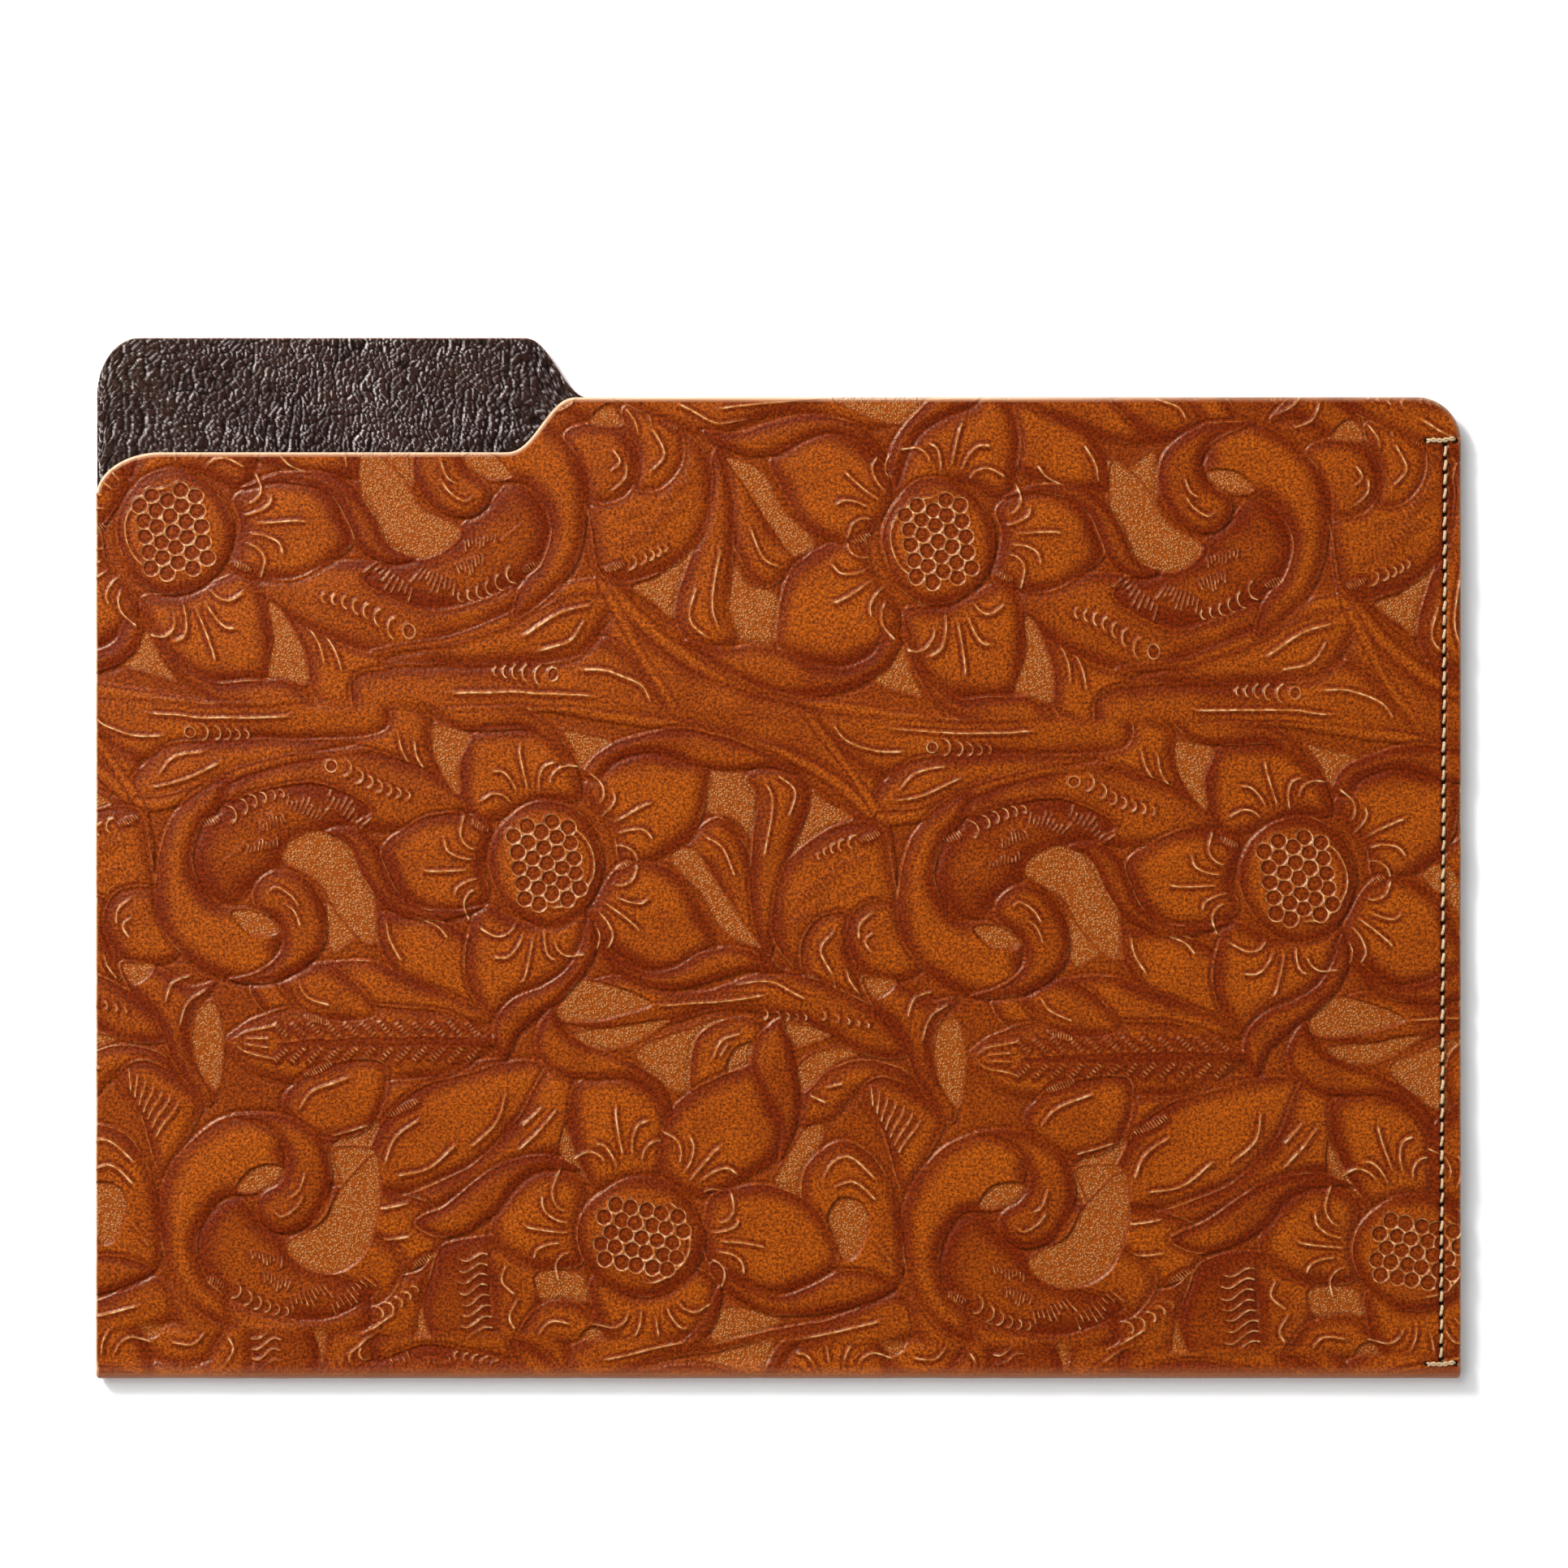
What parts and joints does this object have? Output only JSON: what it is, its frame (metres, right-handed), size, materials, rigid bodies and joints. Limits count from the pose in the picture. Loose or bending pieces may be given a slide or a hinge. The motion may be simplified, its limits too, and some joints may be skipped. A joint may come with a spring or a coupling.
{
  "type": "leather file folder",
  "caption": "Slim letter-size leather sleeve, folded along the bottom and sewn on the right, with a raised file tab behind a stepped front panel.",
  "frame": {"origin": "middle of the bounding box in X and Y, on the face that the folder rests on", "axes": "+X across the width to the sewn side, +Y from the folded edge up to the tab, +Z out through the front panel"},
  "size_m": [0.305, 0.233, 0.0042],
  "materials": {
    "outer_leather": "embossed floral pattern, two-tone antique cognac, semi-gloss",
    "lining_leather": "pebbled dark brown, satin",
    "thread": "waxed tan thread"
  },
  "bodies": {
    "sleeve": {"outer_back_panel": "outer_leather", "outer_fold": "outer_leather", "outer_front_panel": "outer_leather", "lining_back_panel": "lining_leather", "lining_fold": "lining_leather", "lining_front_panel": "lining_leather", "lining_seam_margin": "lining_leather", "needle_thread": "thread", "bobbin_thread": "thread", "upper_bar_tack": "thread", "lower_bar_tack": "thread"},
    "front_corner": {"outer_front_corner": "outer_leather", "lining_front_corner": "lining_leather"}
  },
  "joints": [
    {"name": "corner_lift", "type": "hinge", "parent": "sleeve", "child": "front_corner", "pos_m": [-0.01225, 0.00155, 0.0042], "axis": [0.81, 0.5865, 0], "range_deg": [0, 35], "stiffness_Nm_per_rad": 0.05}
  ]
}
